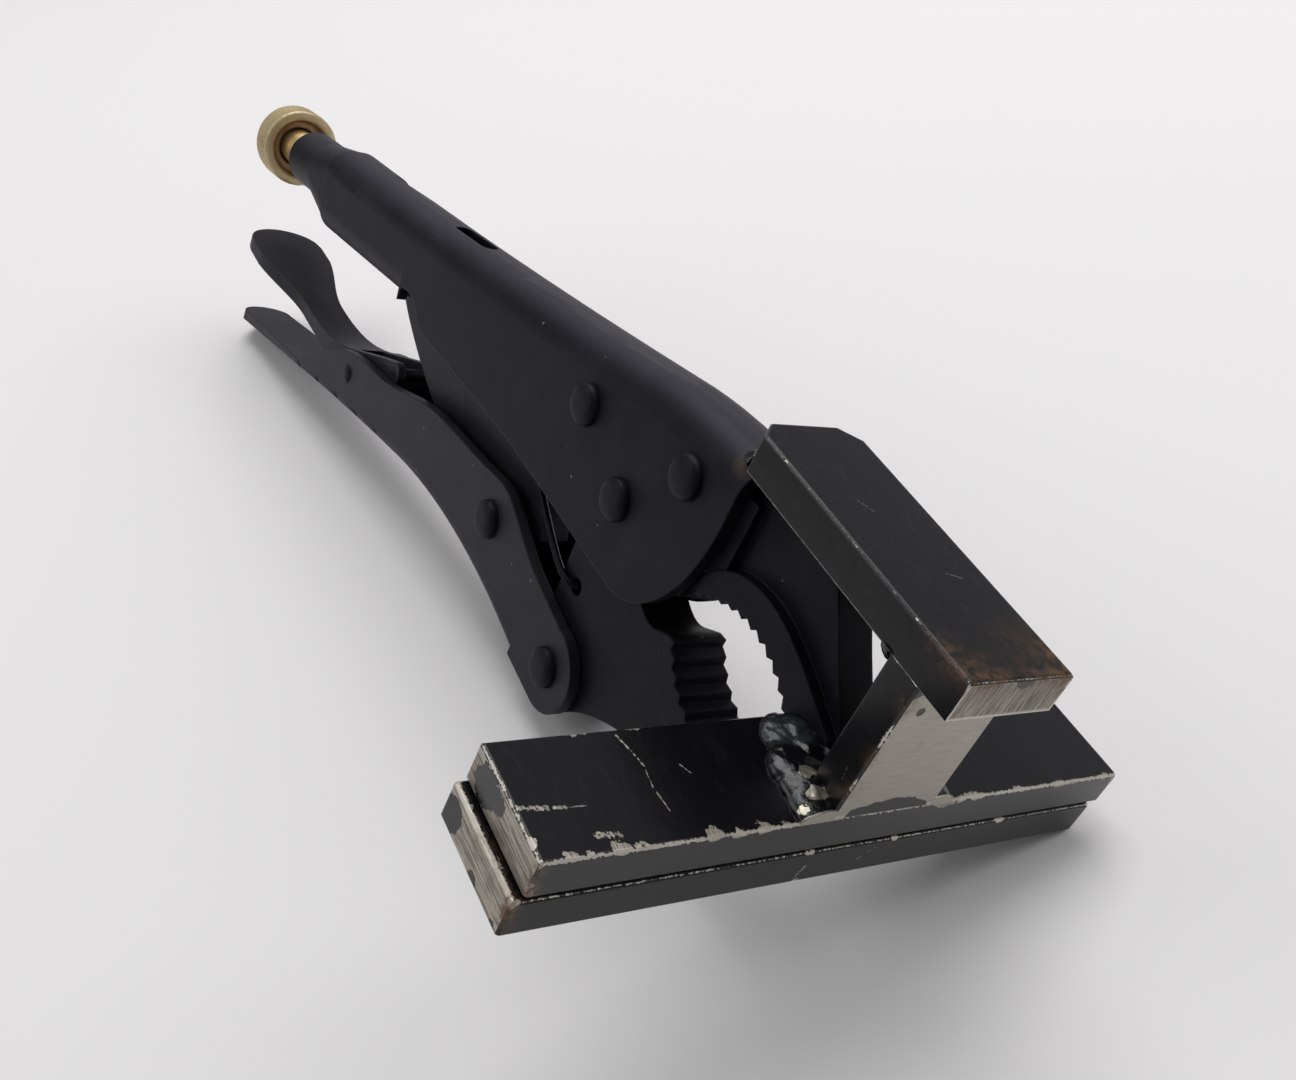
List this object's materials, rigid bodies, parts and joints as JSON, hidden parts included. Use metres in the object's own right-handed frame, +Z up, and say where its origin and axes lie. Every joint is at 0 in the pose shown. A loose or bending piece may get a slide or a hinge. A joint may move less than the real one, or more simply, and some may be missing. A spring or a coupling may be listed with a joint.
{
  "type": "locking pliers",
  "caption": "Locking pliers with long flat bars welded across the jaws, a braced upper jaw, a knurled adjusting screw and a release lever.",
  "frame": {"origin": "middle plane of the tool, on the line where the two clamp bars meet at their front edges", "axes": "+X forward along the tool towards the bars, +Y across it along the pivots, +Z up, the way the upper jaw lies from the lower"},
  "size_m": [0.2702, 0.106, 0.1141],
  "materials": {
    "black_phosphate": "matte black phosphate over pressed and forged steel",
    "rivet_steel": "matte black phosphate over turned steel",
    "screw_steel": "oiled dark steel with a rolled thread",
    "knob_brass": "yellow zinc plate, dull",
    "spring_steel": "drawn spring wire",
    "bar_paint": "gloss black enamel chipped to bare steel along the edges",
    "weld_metal": "lumpy weld bead under gloss black enamel with bare spots"
  },
  "bodies": {
    "upper_body": {"fixed_handle": "black_phosphate", "fixed_jaw": "black_phosphate", "fixed_jaw_rivet_rear": "rivet_steel", "fixed_jaw_rivet_front": "rivet_steel", "jaw_pivot_rivet": "rivet_steel", "brace_bar": "bar_paint", "brace_strut": "bar_paint", "upper_clamp_bar": "bar_paint", "weld_brace_head": "weld_metal", "weld_strut_top": "weld_metal", "weld_upper_left": "weld_metal", "weld_upper_right": "weld_metal", "jaw_spring": "spring_steel"},
    "lower_jaw": {"moving_jaw": "black_phosphate", "lower_clamp_bar": "bar_paint", "weld_lower_left": "weld_metal", "weld_lower_right": "weld_metal"},
    "lower_handle": {"moving_handle": "black_phosphate", "handle_pivot_rivet": "rivet_steel", "toggle_rivet": "rivet_steel", "release_lever_pin": "rivet_steel"},
    "link": {"toggle_link": "black_phosphate"},
    "lever": {"release_lever": "black_phosphate", "lever_nose_pin": "rivet_steel"},
    "screw": {"adjusting_screw": "screw_steel"},
    "knob": {"knurled_knob": "knob_brass"}
  },
  "joints": [
    {"name": "jaw_hinge", "type": "hinge", "parent": "upper_body", "child": "lower_jaw", "pos_m": [-0.0694, 0, 0.0048], "axis": [0, 1, 0], "range_deg": [0, 20], "deforming": ["jaw_spring"]},
    {"name": "handle_hinge", "type": "hinge", "parent": "lower_jaw", "child": "lower_handle", "pos_m": [-0.0683, 0, -0.0326], "axis": [0, 1, 0], "range_deg": [-63.5, 0]},
    {"name": "toggle_hinge", "type": "hinge", "parent": "lower_handle", "child": "link", "pos_m": [-0.1015, 0, -0.0256], "axis": [0, 1, 0], "range_deg": [0, 61.5]},
    {"name": "release_hinge", "type": "hinge", "parent": "lower_handle", "child": "lever", "pos_m": [-0.1765, 0, -0.0435], "axis": [0, 1, 0], "range_deg": [-5, 8]},
    {"name": "screw_feed", "type": "slide", "parent": "upper_body", "child": "screw", "axis": [0.9744, 0, 0.225], "range_m": [-0.00635, 0]},
    {"name": "knob_turn", "type": "hinge", "parent": "screw", "child": "knob", "pos_m": [-0.2445, 0, -0.0227], "axis": [0.9744, 0, 0.225], "range_deg": [-1441, 0]}
  ],
  "couplings": [
    {"joint": "handle_hinge", "follows": "jaw_hinge", "ratio": -3.15},
    {"joint": "toggle_hinge", "follows": "jaw_hinge", "ratio": 3.05},
    {"joint": "knob_turn", "follows": "screw_feed", "rad_per_m": 3957.9}
  ]
}
